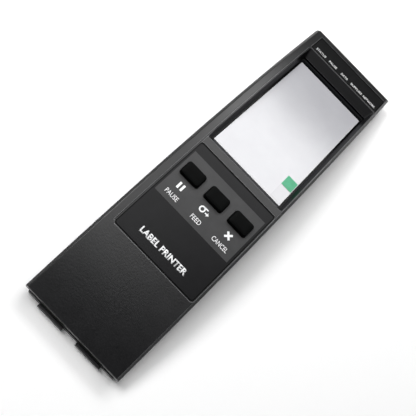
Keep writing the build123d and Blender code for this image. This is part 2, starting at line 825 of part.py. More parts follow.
socket_mouth = display_socket_place[1] + 1.2
display_flex = ribbon(
    display_socket_place[0],
    20.0,
    [
        side_point(board_back_plane, socket_mouth, -socket_height / 2),
        side_point(board_back_plane, 22.0, -socket_height / 2),
        (along(153.0), 16.4),
        side_point(display_plane, 24.0, -module_depth - 0.2),
        side_point(display_plane, 36.0, -module_depth - 0.2),
    ],
)
display_flex.part.label = "display_flex"
export_step(display_flex.part, "parts/display_flex.step")

status_ribbon = ribbon(
    board_socket_place[0],
    6.0,
    [
        side_point(board_back_plane, socket_mouth, -socket_height / 2),
        side_point(board_back_plane, 20.0, -socket_height / 2),
        (along(234.5), 6.2),
        side_point(status_back_plane, -7.5, -socket_height / 2),
        side_point(status_back_plane, status_socket_place[1] - 1.2, -socket_height / 2),
    ],
)
status_ribbon.part.label = "status_ribbon"
export_step(status_ribbon.part, "parts/status_ribbon.step")
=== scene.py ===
import math

import bmesh
import bpy
from mathutils import Matrix, Vector


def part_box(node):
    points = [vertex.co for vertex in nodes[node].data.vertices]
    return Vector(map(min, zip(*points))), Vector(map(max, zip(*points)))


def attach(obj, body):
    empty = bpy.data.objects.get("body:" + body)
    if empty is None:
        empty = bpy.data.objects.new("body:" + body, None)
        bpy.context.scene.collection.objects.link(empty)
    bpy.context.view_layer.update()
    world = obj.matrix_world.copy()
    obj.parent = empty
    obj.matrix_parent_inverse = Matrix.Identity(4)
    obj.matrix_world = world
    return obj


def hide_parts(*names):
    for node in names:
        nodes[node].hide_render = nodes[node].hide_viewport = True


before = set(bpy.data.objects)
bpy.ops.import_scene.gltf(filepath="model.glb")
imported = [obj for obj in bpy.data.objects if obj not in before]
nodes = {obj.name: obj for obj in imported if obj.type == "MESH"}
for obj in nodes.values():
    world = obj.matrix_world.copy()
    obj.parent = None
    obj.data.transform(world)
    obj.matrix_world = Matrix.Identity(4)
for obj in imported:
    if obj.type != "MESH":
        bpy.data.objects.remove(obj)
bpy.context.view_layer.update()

# Front control panel of a desktop label printer, lying on its back on a white table.
# Metres throughout. X runs across the panel, Y from its bottom end to its top end, Z up.

mm = 0.001
panelBottom = -0.1343       # Y of the shell's bottom end
drawingHeight = 0.04        # Z above the panel, where flat outlines are drawn before they drop on to it
weldDistance = 0.000002     # vertices this close are one
nearly = 0.00001            # slack when a place is compared


def along(distance):
    # Y of a point this many mm up the panel from its bottom end
    return panelBottom + distance * mm


# The camera looks steeply down from the panel's bottom end, rolled so that the panel lies aslant.
camera = {
    "place": (0.00443, -0.17283, 0.34985),
    "across": (0.99997, 0.00569, -0.00502),      # to the camera's right before the roll
    "upwards": (-0.0032, 0.91639, 0.40027),
    "roll": 45.9,                                # degrees
    "lens": 51.92,
    "sensor": 36.0,
    "clip": (0.01, 20),
}


def makeCamera():
    across, upwards = Vector(camera["across"]), Vector(camera["upwards"])
    roll = math.radians(camera["roll"])
    right = (across * math.cos(roll) + upwards * math.sin(roll)).normalized()
    up = (upwards * math.cos(roll) - across * math.sin(roll)).normalized()
    back = right.cross(up).normalized()
    up = back.cross(right)
    data = bpy.data.cameras.new("tableCamera")
    data.lens = camera["lens"]
    data.sensor_width = camera["sensor"]
    data.clip_start, data.clip_end = camera["clip"]
    eye = bpy.data.objects.new("tableCamera", data)
    bpy.context.scene.collection.objects.link(eye)
    turn = Matrix((right, up, back)).transposed().to_4x4()
    eye.matrix_world = Matrix.Translation(camera["place"]) @ turn
    bpy.context.scene.camera = eye


makeCamera()
print("camera ready")


def toLinear(hexColour):
    # sRGB hex colour to linear light, with full alpha
    channels = [int(hexColour[i:i + 2], 16) / 255 for i in (1, 3, 5)]
    return tuple(c / 12.92 if c <= 0.04045 else ((c + 0.055) / 1.055) ** 2.4 for c in channels) + (1,)


def addNode(tree, kind, settings=None, links=None):
    # adds one node; settings are its own options or the values of its sockets
    node = tree.nodes.new("ShaderNode" + kind)
    for key, value in (settings or {}).items():
        if isinstance(key, str) and hasattr(node, key):
            setattr(node, key, value)
        else:
            node.inputs[key].default_value = value
    for key, socket in (links or {}).items():
        tree.links.new(socket, node.inputs[key])
    return node


def startMaterial(name, colour, settings):
    # a Principled surface with its steady values set on its own sockets
    material = bpy.data.materials.new(name)
    material.use_nodes = True
    tree = material.node_tree
    surface = tree.nodes["Principled BSDF"]
    surface.inputs["Base Color"].default_value = toLinear(colour)
    for key, value in settings.items():
        surface.inputs[key].default_value = value
    material.diffuse_color = toLinear(colour)
    return material, tree, surface


def grainOf(size):
    # noise scale whose grains are about this many mm across, in Object coordinates of metres
    return 1 / (size * mm)


# Where most of a noise texture's values lie, and where their three shades stand on a ramp.
noiseRange = (0.3, 0.7)
shadeStops = (0.3, 0.5, 0.72)
# What an edge or a groove has to be before its paler edge and its painted shade show: the cosine between
# the rounded normal and the face's own, and the openness of the place, each where the effect starts and
# where it is full.
edgeHighlightAndShadeRanges = {"turned": (0.995, 0.9), "proud": (0.82, 0.98), "sunk": (0.95, 0.7)}


def setRamp(node, stops):
    # colour stops of a ramp: place and hex colour
    ramp = node.color_ramp
    while len(ramp.elements) < len(stops):
        ramp.elements.new(0.5)
    for element, (place, colour) in zip(ramp.elements, stops):
        element.position = place
        element.color = toLinear(colour)


def mouldedSurface(name, finish):
    # moulded, rolled or coated surface: mottled colour, fine grain in bump and gloss,
    # then whatever else the finish asks for: a drawn pattern, edges painted paler, grooves darkened by
    # painted shade
    material, tree, surface = startMaterial(name, finish["colour"], finish["sockets"])
    where = addNode(tree, "TexCoord").outputs["Object"]
    stretch = finish.get("stretch", (1, 1, 1))
    spread = addNode(tree, "Mapping", {"Scale": stretch}, {"Vector": where}).outputs["Vector"]
    mottle = addNode(
        tree, "TexNoise",
        {"Scale": grainOf(finish["mottleSize"]), "Detail": 3.0, "Roughness": 0.55}, {"Vector": spread},
    )
    shades = addNode(tree, "ValToRGB", links={"Fac": mottle.outputs["Fac"]})
    tones = [finish[tone] for tone in ("darker", "colour", "lighter")]
    setRamp(shades, list(zip(shadeStops, tones)))
    colour = shades.outputs["Color"]
    if "tracks" in finish:
        colour = drawTracks(tree, where, colour, finish["tracks"])
    if "stripes" in finish:
        colour = drawStripes(tree, where, colour, finish["stripes"])
    if "edges" in finish:
        colour = wornAndPaintedLightEdges(tree, colour, finish["edges"])
    tree.links.new(colour, surface.inputs["Base Color"])
    if "grainSize" in finish:
        drawGrain(tree, surface, spread, finish)
    else:       # an even gloss is a steady value of the surface itself
        surface.inputs["Roughness"].default_value = finish["roughness"]
    return material


def drawGrain(tree, surface, spread, finish):
    # fine grain breaks up the gloss, and stands up where the finish has bump
    grain = addNode(
        tree, "TexNoise",
        {"Scale": grainOf(finish["grainSize"]), "Detail": 2.0, "Roughness": 0.6}, {"Vector": spread},
    )
    gloss = mapRange(tree, grain.outputs["Fac"], noiseRange, finish["roughness"])
    tree.links.new(gloss, surface.inputs["Roughness"])
    if not finish["bump"]:
        return
    height = grain.outputs["Fac"]
    if "pebbleSize" in finish:      # the coarser swell under the fine grain
        pebbles = addNode(
            tree, "TexNoise",
            {"Scale": grainOf(finish["pebbleSize"]), "Detail": 1.0, "Roughness": 0.4}, {"Vector": spread},
        )
        height = addNode(
            tree, "Math", {"operation": "MULTIPLY_ADD", 1: finish["pebbleRise"]},
            {0: pebbles.outputs["Fac"], 2: height},
        ).outputs["Value"]
    bump = addNode(
        tree, "Bump", {"Strength": finish["bump"], "Distance": finish["bumpDepth"] * mm}, {"Height": height},
    )
    tree.links.new(bump.outputs["Normal"], surface.inputs["Normal"])


def mapRange(tree, value, start, end=(0, 1)):
    # carries a value from one range to another, held at both ends
    mapped = addNode(
        tree, "MapRange",
        {"From Min": start[0], "From Max": start[1], "To Min": end[0], "To Max": end[1]},
        {"Value": value},
    )
    return mapped.outputs["Result"]


def multiply(tree, first, second):
    return addNode(tree, "Math", {"operation": "MULTIPLY"}, {0: first, 1: second}).outputs["Value"]


def blendColours(tree, factor, colour, other):
    blend = addNode(tree, "Mix", {"data_type": "RGBA", 7: toLinear(other)}, {0: factor, 6: colour})
    return blend.outputs[2]


def wornAndPaintedLightEdges(tree, colour, edges):
    # proud edges painted paler, as handling wear and as a painted highlight; narrow grooves painted dark as
    # painted shade
    rounded = addNode(tree, "Bevel", {"samples": 6, "Radius": edges["width"] * mm})
    faced = addNode(tree, "NewGeometry")
    agree = addNode(
        tree, "VectorMath", {"operation": "DOT_PRODUCT"},
        {0: rounded.outputs["Normal"], 1: faced.outputs["Normal"]},
    )
    turned = mapRange(tree, agree.outputs["Value"], edgeHighlightAndShadeRanges["turned"], (0, edges["amount"]))
    hollow = addNode(tree, "AmbientOcclusion", {"samples": 8, "Distance": edges["grooveWidth"] * mm})
    proud = mapRange(tree, hollow.outputs["AO"], edgeHighlightAndShadeRanges["proud"])
    colour = blendColours(tree, multiply(tree, turned, proud), colour, edges["paler"])
    sunk = mapRange(tree, hollow.outputs["AO"], edgeHighlightAndShadeRanges["sunk"], (0, edges["dusk"]))
    return blendColours(tree, sunk, colour, edges["groove"])


def drawTracks(tree, where, colour, tracks):
    # copper tracks show paler through the solder mask, in patches, with tinned vias between them
    runs = addNode(
        tree, "TexBrick",
        {"Scale": 1 / mm, "Mortar Size": tracks["width"] / 2, "Mortar Smooth": 0.2,
         "Brick Width": tracks["length"], "Row Height": tracks["pitch"]},
        {"Vector": where},
    )
    patches = addNode(tree, "TexVoronoi", {"Scale": grainOf(tracks["patch"])}, {"Vector": where})
    here = mapRange(tree, patches.outputs["Color"], tracks["patchStart"], (0, tracks["amount"]))
    colour = blendColours(tree, multiply(tree, runs.outputs["Fac"], here), colour, tracks["track"])
    vias = addNode(
        tree, "TexVoronoi", {"Scale": grainOf(tracks["viaPitch"]), "Randomness": 0.7}, {"Vector": where},
    )
    dots = mapRange(tree, vias.outputs["Distance"], tracks["viaEdge"])
    return blendColours(tree, dots, colour, tracks["via"])


waveRepeat = 0.314      # metres from band to band of a wave texture of scale 1


def drawStripes(tree, where, colour, stripes):
    # parallel conductors, each as wide as the gap beside it, with soft edges
    bands = addNode(
        tree, "TexWave",
        {"bands_direction": stripes["across"], "Scale": waveRepeat / (stripes["pitch"] * mm)},
        {"Vector": where},
    )
    shown = mapRange(tree, bands.outputs["Fac"], (0.4, 0.6), (0, stripes["amount"]))
    return blendColours(tree, shown, colour, stripes["tone"])


def assign(material, *names):
    for name in names:
        holder = nodes[name] if isinstance(name, str) else name
        holder.data.materials.clear()
        holder.data.materials.append(material)


# ABS, injection moulded in a spark-eroded tool: satin black with an even pebbled grain, and edges a little
# paler from handling and from a painted highlight. The tool's grit is about 0.15 mm; 0.7 mm is the finest
# that shows.
shellFinish = {
    "colour": "#0f0f11", "darker": "#0c0c0e", "lighter": "#121214",
    "mottleSize": 9.0, "grainSize": 0.7, "roughness": (0.3, 0.4),
    "bump": 0.32, "bumpDepth": 0.12, "pebbleSize": 1.3, "pebbleRise": 1.0,
    # edges painted paler, as handling wear and a painted highlight; grooves painted near black as painted
    # shade
    "edges": {
        "width": 0.5, "amount": 0.7, "paler": "#8f9092",
        "grooveWidth": 1.6, "dusk": 0.95, "groove": "#020202",
    },
    "sockets": {"IOR": 1.53, "Specular IOR Level": 0.42},
}
shellPlastic = mouldedSurface("sparkedAbs", shellFinish)
assign(shellPlastic, "front_bezel")

# Glass-filled ABS, injection moulded and left as it came: greyer, with flow marks along its length.
frameFinish = {
    "colour": "#0c0c0d", "darker": "#090909", "lighter": "#101011",
    "mottleSize": 12.0, "grainSize": 1.4, "roughness": (0.4, 0.52), "stretch": (1.0, 0.35, 1.0),
    "bump": 0.12, "bumpDepth": 0.1,
    # a faint painted highlight on the edges, and painted shade in the grooves
    "edges": dict(shellFinish["edges"], amount=0.12),
    "sockets": {"IOR": 1.54, "Specular IOR Level": 0.3},
}
framePlastic = mouldedSurface("glassFilledAbs", frameFinish)
assign(framePlastic, "rear_frame")

# Polycarbonate overlay film, velvet embossed and printed from behind: deep charcoal, soft sheen.
# The emboss is about 0.05 mm; it is drawn at 0.8 mm, the finest that shows.
labelFinish = {
    "colour": "#121214", "darker": "#101012", "lighter": "#141416",
    "mottleSize": 6.0, "grainSize": 0.8, "roughness": (0.32, 0.38),
    "bump": 0.1, "bumpDepth": 0.04,
    # no paler edges, but painted shade where the label meets its pocket wall
    "edges": dict(shellFinish["edges"], amount=0.0),
    "sockets": {"IOR": 1.58, "Specular IOR Level": 0.14},
}
labelFilm = mouldedSurface("velvetPolycarbonate", labelFinish)
assign(labelFilm, "key_label")

# The same film over black ink, so the strip reads darker than the key overlay.
statusFinish = dict(labelFinish, colour="#0a0b0c", darker="#090a0b", lighter="#0c0d0e")
statusFilm = mouldedSurface("darkPolycarbonate", statusFinish)
assign(statusFilm, "status_label")

# Screen-printed inks, dried to a thin matt coat: the grey varies a little, the white stays even.
greyInkFinish = {
    "colour": "#323233", "darker": "#2f2f30", "lighter": "#353536",
    "mottleSize": 6.0, "grainSize": 0.8, "roughness": (0.42, 0.5),
    "bump": 0.1, "bumpDepth": 0.04,
    "sockets": {"IOR": 1.5, "Specular IOR Level": 0.35},
}
greyInk = mouldedSurface("greyScreenInk", greyInkFinish)
whiteInkFinish = dict(
    greyInkFinish, colour="#f6f7f8", darker="#eeeff0", lighter="#fbfcfd",
    mottleSize=1.5, roughness=(0.45, 0.6), bump=0, sockets={"IOR": 1.5},
)
whiteInk = mouldedSurface("whiteScreenInk", whiteInkFinish)
# A near-black band round each label along its pocket's edge: painted shade standing in for the line of shade
# there.
shadeLineBorderFinish = dict(
    greyInkFinish, colour="#020202", darker="#010101", lighter="#040404",
    sockets={"IOR": 1.5, "Specular IOR Level": 0.05},
)
shadeLineBorder = mouldedSurface("paintedShadeLine", shadeLineBorderFinish)
print("shell and label materials ready")

# Silicone rubber, compression moulded: near black and dead matt, with a fine skin grain.
rubberFinish = {
    "colour": "#070808", "darker": "#060606", "lighter": "#090a0a",
    "mottleSize": 5.0, "grainSize": 0.5, "roughness": (0.46, 0.6),
    "bump": 0.12, "bumpDepth": 0.05,
    "sockets": {"IOR": 1.43, "Specular IOR Level": 0.05},
}
keyRubber = mouldedSurface("siliconeRubber", rubberFinish)
keyNames = ("pause", "feed", "cancel")
assign(keyRubber, *[name + "_key" for name in keyNames])

# Acetal, injection moulded: milky and slightly waxy.
plungerFinish = dict(
    rubberFinish, colour="#dcdcd6", darker="#d0d0ca", lighter="#e6e6e0", roughness=(0.3, 0.4),
    sockets={"IOR": 1.48, "Subsurface Weight": 0.1},
)
assign(mouldedSurface("acetalPlunger", plungerFinish), *[name + "_plunger" for name in keyNames])

# Glass-filled nylon of the switch bodies: dark grey, dry and slightly speckled.
switchFinish = dict(
    rubberFinish, colour="#2a2b2d", darker="#222325", lighter="#36373a", mottleSize=0.9,
    roughness=(0.5, 0.62), sockets={"IOR": 1.53},
)
assign(mouldedSurface("switchNylon", switchFinish), "switch_bodies")

# Polyethylene protective film, cast and lightly tacked to the glass: pale grey haze under a clean
# gloss, whose gloss is kept even so that the lamps lie on it without a break.
filmFinish = {
    "colour": "#9b9ba0", "darker": "#98989d", "lighter": "#9e9ea3",
    "mottleSize": 22.0, "roughness": 0.24,
    "sockets": {"IOR": 1.5, "Coat Weight": 1.0, "Coat Roughness": 0.14},
}
# the film's cut edges painted near white: a painted highlight, with no groove shade
filmEdges = {
    "width": 0.35, "amount": 0.6, "paler": "#f4f4f6",
    "grooveWidth": 0.5, "dusk": 0.0, "groove": "#929297",
}
coverFilm = mouldedSurface("protectiveFilm", dict(filmFinish, edges=filmEdges))
assign(coverFilm, "display_film")

# Dyed polyester, rolled: an even green with a soft shine.
tabFinish = dict(
    filmFinish, colour="#1f9a6b", darker="#1b9465", lighter="#24a072", mottleSize=4.0,
    # its faint paler edges are a painted highlight
    grainSize=5.0, roughness=(0.3, 0.36), bump=0, edges=dict(filmEdges, amount=0.08),
    sockets={"IOR": 1.5, "Specular IOR Level": 0.4},
)
assign(mouldedSurface("greenTabFilm", tabFinish), "pull_tab")

# The tab's undyed end: clear, so it is only a shade off the film below it, with thin grey edges.
clearTabFinish = dict(
    filmFinish, colour="#96969b", darker="#939398", lighter="#99999e",
    edges=dict(filmEdges, amount=0.5, paler="#7c7c82"),
)
assign(mouldedSurface("clearTabFilm", clearTabFinish), "tab_base")

# Float glass with a black printed border: black, sharp reflections, faint smears.
glassFinish = dict(
    filmFinish, colour="#050607", darker="#040506", lighter="#07080a",
    grainSize=5.0, roughness=(0.08, 0.12), bump=0, sockets={"IOR": 1.52, "Specular IOR Level": 0.05},
)
assign(mouldedSurface("coverGlass", glassFinish), "touch_glass", "lcd_cell")

# Polyurethane foam, cast in sheet and die cut: dull black with open pores of about half a mm.
foamFinish = dict(
    rubberFinish, colour="#0a0a0b", darker="#070708", lighter="#101011",
    grainSize=0.6, roughness=(0.85, 0.95), bump=0.6, sockets={"IOR": 1.4},
)
assign(mouldedSurface("closedCellFoam", foamFinish), "display_gasket")

# Tinned steel, cold rolled then pressed: bright grey with faint roll lines across it.
steelFinish = {
    "colour": "#a7a9aa", "darker": "#98999a", "lighter": "#b8babb",
    "mottleSize": 7.0, "grainSize": 0.9, "roughness": (0.26, 0.42), "stretch": (0.12, 1.0, 1.0),
    "bump": 0.06, "bumpDepth": 0.05,
    # edges painted paler as a painted highlight and hollows darkened with painted shade; the metals below
    # take these too
    "edges": {
        "width": 0.3, "amount": 0.5, "paler": "#d6d8d9",
        "grooveWidth": 1.0, "dusk": 0.5, "groove": "#5c5d5e",
    },
    "sockets": {"Metallic": 1.0},
}
moduleSteel = mouldedSurface("tinnedSteel", steelFinish)
assign(moduleSteel, "lcd_frame")

# Hot-dip galvanised steel: the zinc's crystals make pale and dark patches a few mm across.
bracketFinish = dict(
    steelFinish, colour="#8f9192", darker="#77797a", lighter="#a9abac",
    mottleSize=3.5, stretch=(1, 1, 1),
)
assign(mouldedSurface("galvanisedSteel", bracketFinish), "display_bracket")

# Acrylic, moulded and frosted: milk white with a gentle shine.
guideFinish = dict(filmFinish, colour="#e9ebe8", darker="#e2e4e1", lighter="#f0f2ef")
assign(mouldedSurface("frostedAcrylic", guideFinish), "backlight_guide")

# Steel screws blacked in hot oxide: nearly black, edges rubbed back to grey and painted paler as a
# highlight, hollows darkened with painted shade.
screwFinish = dict(
    steelFinish, colour="#2b2b2d", darker="#222224", lighter="#37373a", stretch=(1, 1, 1),
    edges=dict(steelFinish["edges"], paler="#77787a", groove="#0c0c0d"), sockets={"Metallic": 0.9},
)
assign(mouldedSurface("blackOxideSteel", screwFinish), "frame_screws")

# Steel screws plated with zinc: bluish silver, turned bright.
platedFinish = dict(steelFinish, colour="#b9bbbd", darker="#a9abad", lighter="#c8cacc", stretch=(1, 1, 1))
platedSteel = mouldedSurface("zincPlatedSteel", platedFinish)
assign(platedSteel, "board_screws", "bracket_screws", "status_board_screws")

# Brass, turned from bar: warm yellow, its edges paler with a painted highlight and its corners darker with
# painted shade.
brassFinish = dict(
    platedFinish, colour="#c8a04c", darker="#b48d3e", lighter="#d9b45e", mottleSize=1.5,
    edges=dict(steelFinish["edges"], paler="#efd48c", groove="#5a4119"),
)
assign(mouldedSurface("turnedBrass", brassFinish), "mounting_inserts")

# Phosphor bronze pins, drawn and flash plated with gold: smooth and warm.
goldFinish = dict(
    brassFinish, colour="#d9b25a", darker="#cba24c", lighter="#e6c26e", roughness=(0.18, 0.26),
)
assign(mouldedSurface("goldPlatedPins", goldFinish), "harness_pins")

# Glass-epoxy board under sprayed solder mask: glossy green, with its copper tracks paler below.
# Tracks on such a board are 0.2 mm wide; 0.4 mm is the finest that shows.
boardFinish = {
    "colour": "#14532f", "darker": "#104828", "lighter": "#195d36",
    "mottleSize": 6.0, "grainSize": 0.8, "roughness": (0.3, 0.4),
    "bump": 0.1, "bumpDepth": 0.04,
    "tracks": {
        "width": 0.4, "pitch": 1.1, "length": 9.0, "track": "#2b7d4c", "amount": 0.8,
        "patch": 11.0, "patchStart": (0.35, 0.4),               # mm across, and which have tracks
        "viaPitch": 4.5, "viaEdge": (0.13, 0.09),               # mm apart, and each one's fading rim
        "via": "#b9bba8",
    },
    "sockets": {"IOR": 1.5, "Coat Weight": 0.3},
}
boardGreen = mouldedSurface("solderMask", boardFinish)
assign(boardGreen, "control_board", "status_board")

# Mineral-filled epoxy, transfer moulded round the chips: dark grey, dry, finely pitted.
epoxyFinish = dict(
    rubberFinish, colour="#1a1b1d", darker="#151618", lighter="#222325", mottleSize=1.2,
    roughness=(0.5, 0.65), bump=0.3, sockets={"IOR": 1.55},
)
assign(mouldedSurface("chipEpoxy", epoxyFinish), "controller_chip", "flash_chip")

# Nickel silver, deep drawn and cold welded: bright and slightly streaked.
canFinish = dict(steelFinish, colour="#c3c4c4", darker="#b4b5b5", lighter="#d0d1d1")
assign(mouldedSurface("nickelCan", canFinish), "crystal")

# Aluminium, impact extruded: soft satin grey drawn up and down the can.
capacitorFinish = dict(
    steelFinish, colour="#9fa1a4", darker="#8f9194", lighter="#b3b5b8",
    stretch=(1.0, 1.0, 0.15), mottleSize=2.0,
)
assign(mouldedSurface("extrudedAluminium", capacitorFinish), "capacitors")

# Alumina chips with a black printed element and tinned ends: charcoal with a slight glaze.
ceramicFinish = dict(
    rubberFinish, colour="#1a1a1c", darker="#151517", lighter="#2a2a2d", mottleSize=0.8,
    sockets={"IOR": 1.6},
)
assign(mouldedSurface("thickFilmCeramic", ceramicFinish), "chip_resistors")

# Black nylon header, moulded: dry, slightly speckled.
assign(mouldedSurface("blackNylonHeader", dict(switchFinish, colour="#1d1e20")), "harness_connector")

# Undyed nylon connectors, moulded: warm ivory, waxy.
ivoryFinish = dict(plungerFinish, colour="#e3dcc6", darker="#d9d2bb", lighter="#ece6d2")
assign(mouldedSurface("ivoryNylon", ivoryFinish), "display_connector", "ribbon_connector", "status_socket")

# Polyimide film laminated over etched copper: amber, with its conductors as darker lines.
# Their real pitch is 0.5 mm; they are drawn at 1 mm so that they show.
flexFinish = dict(
    filmFinish, colour="#b4701f", darker="#a56418", lighter="#c37d2a", mottleSize=8.0,
    stripes={"across": "X", "pitch": 1.0, "tone": "#8a4f14", "amount": 0.7},
    sockets={"IOR": 1.6, "Coat Weight": 0.4, "Coat Roughness": 0.2},
)
assign(mouldedSurface("polyimideFlex", flexFinish), "display_flex")

# Polyester ribbon laminated over flat tinned wires at 1 mm: white with grey lines.
ribbonFinish = dict(
    filmFinish, colour="#dfe0e0", darker="#d5d6d6", lighter="#e8e9e9", mottleSize=8.0,
    stripes={"across": "X", "pitch": 1.0, "tone": "#b4b6b8", "amount": 0.7},
    sockets={"IOR": 1.55},
)
assign(mouldedSurface("whiteRibbon", ribbonFinish), "status_ribbon")

# Moulded lamp packages: warm white reflector resin.
ledFinish = dict(plungerFinish, colour="#ece7d2", darker="#e2dcc4", lighter="#f4f0e0")
assign(mouldedSurface("ledPackage", ledFinish), "status_leds")

# Acrylic light pipes, moulded and polished: pale and glassy.
clearFinish = dict(
    filmFinish, colour="#cfd6da", darker="#c6ced3", lighter="#d9dfe3",
    sockets={"IOR": 1.49, "Transmission Weight": 0.6},
)
assign(mouldedSurface("clearAcrylic", clearFinish), "light_pipes")
print("all CAD nodes have a material:", len(bpy.data.materials))

def clearSelection():
    if bpy.context.object and bpy.context.object.mode != "OBJECT":
        bpy.ops.object.mode_set(mode="OBJECT")
    bpy.ops.object.select_all(action="DESELECT")


def pickObject(piece):
    clearSelection()
    piece.select_set(True)
    bpy.context.view_layer.objects.active = piece


def newest(name):
    # the object that an operator has just added, under the name it keeps
    piece = bpy.context.object
    piece.name = name
    piece.data.name = name
    return piece


def openEdit(piece):
    # leaves edit mode open with the whole mesh selected
    pickObject(piece)
    bpy.ops.object.mode_set(mode="EDIT")
    bpy.ops.mesh.select_all(action="SELECT")


def closeEdit():
    bpy.ops.object.mode_set(mode="OBJECT")


def pickParts(piece, kind, test):
    # selects the faces or the edges that pass the test, and leaves edit mode open
    openEdit(piece)
    bpy.ops.mesh.select_mode(type=kind)
    bpy.ops.mesh.select_all(action="DESELECT")
    mesh = bmesh.from_edit_mesh(piece.data)
    for part in mesh.faces if kind == "FACE" else mesh.edges:
        if test(part):
            part.select_set(True)
    mesh.select_flush_mode()
    bmesh.update_edit_mesh(piece.data)


def pickFaces(piece, test):
    pickParts(piece, "FACE", test)


def pickEdges(piece, test):
    pickParts(piece, "EDGE", test)


def applyModifier(piece, kind, settings):
    # adds one modifier with its settings and makes it part of the mesh
    pickObject(piece)
    modifier = piece.modifiers.new(kind.title(), kind)
    for key, value in settings.items():
        setattr(modifier, key, value)
    bpy.ops.object.modifier_apply(modifier=modifier.name)


def settle(piece):
    # moves the object's place and turn into its mesh
    pickObject(piece)
    bpy.ops.object.transform_apply(location=True, rotation=True, scale=True)


def joinPieces(name, pieces):
    clearSelection()
    for piece in pieces:
        piece.select_set(True)
    bpy.context.view_layer.objects.active = pieces[0]
    if len(pieces) > 1:
        bpy.ops.object.join()
    return newest(name)


def finishPiece(piece, body, material, smooth=None):
    if smooth is not None:
        pickObject(piece)
        bpy.ops.object.shade_smooth_by_angle(angle=math.radians(smooth))
    assign(material, piece)
    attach(piece, body)
    return piece


# Screen-printed ink in mm: how far its top stands above the film, and how thick the coat is.
inkCoat = {"height": 0.05, "thickness": 0.04}


def dropOn(piece, target, gap):
    # drops a flat outline straight down, until it hangs this many mm above a CAD node
    applyModifier(piece, "SHRINKWRAP", {
        "target": nodes[target], "wrap_method": "PROJECT", "use_project_z": True,
        "use_negative_direction": True, "use_positive_direction": False, "offset": gap * mm,
    })


def layInk(piece, label, lift=0.0):
    # drops a flat outline on to its label and gives it the thickness of a coat of ink
    openEdit(piece)
    bpy.ops.mesh.remove_doubles(threshold=weldDistance)
    closeEdit()
    dropOn(piece, label, inkCoat["height"] + lift)
    applyModifier(piece, "SOLIDIFY", {"thickness": inkCoat["thickness"] * mm, "offset": -1})


def drawWord(letters, left, right, distance, capHeight, weight):
    # one printed word, centred on this distance and stretched to its own width
    clearSelection()
    bpy.ops.object.text_add(location=(0, 0, 0))
    word = bpy.context.object
    word.data.body = letters
    word.data.offset = weight
    word.data.resolution_u = 4      # coarse, since the letters are a few mm tall
    pickObject(word)
    bpy.ops.object.convert(target="MESH")
    word = bpy.context.object
    places = [v.co for v in word.data.vertices]
    low = Vector((min(p.x for p in places), min(p.y for p in places), 0))
    high = Vector((max(p.x for p in places), max(p.y for p in places), 0))
    wide, tall = (right - left) * mm / (high.x - low.x), capHeight * mm / (high.y - low.y)
    word.scale = (wide, tall, 1)
    middle = (low.y + high.y) / 2 * tall
    word.location = (left * mm - low.x * wide, along(distance) - middle, drawingHeight)
    settle(word)
    return word


# Each row of words: the letters with their left and right ends, then the row's own place and size
# in mm, and the weight, which swells the strokes.
printedWords = {
    "statusWords": {
        "words": [
            ("STATUS", -26.3, -17.2), ("PAUSE", -13.7, -6.3), ("DATA", -1.6, 4.8),
            ("SUPPLIES", 8.0, 18.9), ("NETWORK", 20.4, 32.0),
        ],
        "label": "status_label", "distance": 252.4, "capHeight": 2.1, "weight": 0.008, "lift": 0.0,
    },
    "keyWords": {
        "words": [("PAUSE", -22.8, -13.2), ("FEED", -1.8, 5.7), ("CANCEL", 15.9, 27.9)],
        "label": "key_label", "distance": 91.45, "capHeight": 2.9, "weight": 0.0, "lift": 0.05,
    },
    "titleWords": {
        "words": [("LABEL PRINTER", -15.9, 20.3)],
        "label": "key_label", "distance": 65.3, "capHeight": 3.9, "weight": 0.035, "lift": 0.0,
    },
}


def makeWords(name):
    row = printedWords[name]
    words = []
    for letters, left, right in row["words"]:
        words.append(drawWord(letters, left, right, row["distance"], row["capHeight"], row["weight"]))
    piece = joinPieces(name, words)
    layInk(piece, row["label"], row["lift"])
    finishPiece(piece, "root", whiteInk)


for name in printedWords:
    makeWords(name)

keyField = {"left": -27.6, "right": 32.1, "low": 86.9, "high": 121.2}


def makeKeyField():
    # the grey field is cut out of a copy of the label, so that it has the label's bow and key holes
    clearSelection()
    source = nodes["key_label"]
    piece = bpy.data.objects.new("keyField", source.data.copy())
    bpy.context.scene.collection.objects.link(piece)
    openEdit(piece)
    bpy.ops.mesh.remove_doubles(threshold=weldDistance)
    for place, normal in (
        ((keyField["left"] * mm, 0, 0), (-1, 0, 0)), ((keyField["right"] * mm, 0, 0), (1, 0, 0)),
        ((0, along(keyField["low"]), 0), (0, -1, 0)), ((0, along(keyField["high"]), 0), (0, 1, 0)),
    ):
        bpy.ops.mesh.select_all(action="SELECT")
        bpy.ops.mesh.bisect(plane_co=place, plane_no=normal, clear_outer=True)
    closeEdit()
    pickFaces(piece, lambda face: face.normal.z < 0.7)      # all but the printed side
    bpy.ops.mesh.delete(type="FACE")
    closeEdit()
    bpy.ops.mesh.customdata_custom_splitnormals_clear()
    applyModifier(piece, "SOLIDIFY", {"thickness": inkCoat["height"] * mm, "offset": 1})
    finishPiece(piece, "root", greyInk, smooth=30)


makeKeyField()

# Icons in mm; the roll's hole and the arrow's point are shares of the roll and of the head.
iconPrint = {
    "distance": 98.85, "lift": 0.05,
    "pause": {"centre": -17.95, "bar": (1.5, 4.4), "gap": 1.3, "corner": 0.2},
    "cancel": {"centre": 22.0, "thick": 1.35, "arm": 2.0},
    "roll": {"centre": 0.15, "outer": 2.1, "hole": 0.55, "tail": 3.6, "tailThick": 0.8},
    "arrow": {
        "start": 2.9, "tip": 5.8, "drop": 0.6, "shaft": 0.8, "shaftEnd": 4.8,
        "head": 2.6, "headStart": 4.3, "point": 0.05,
    },
}


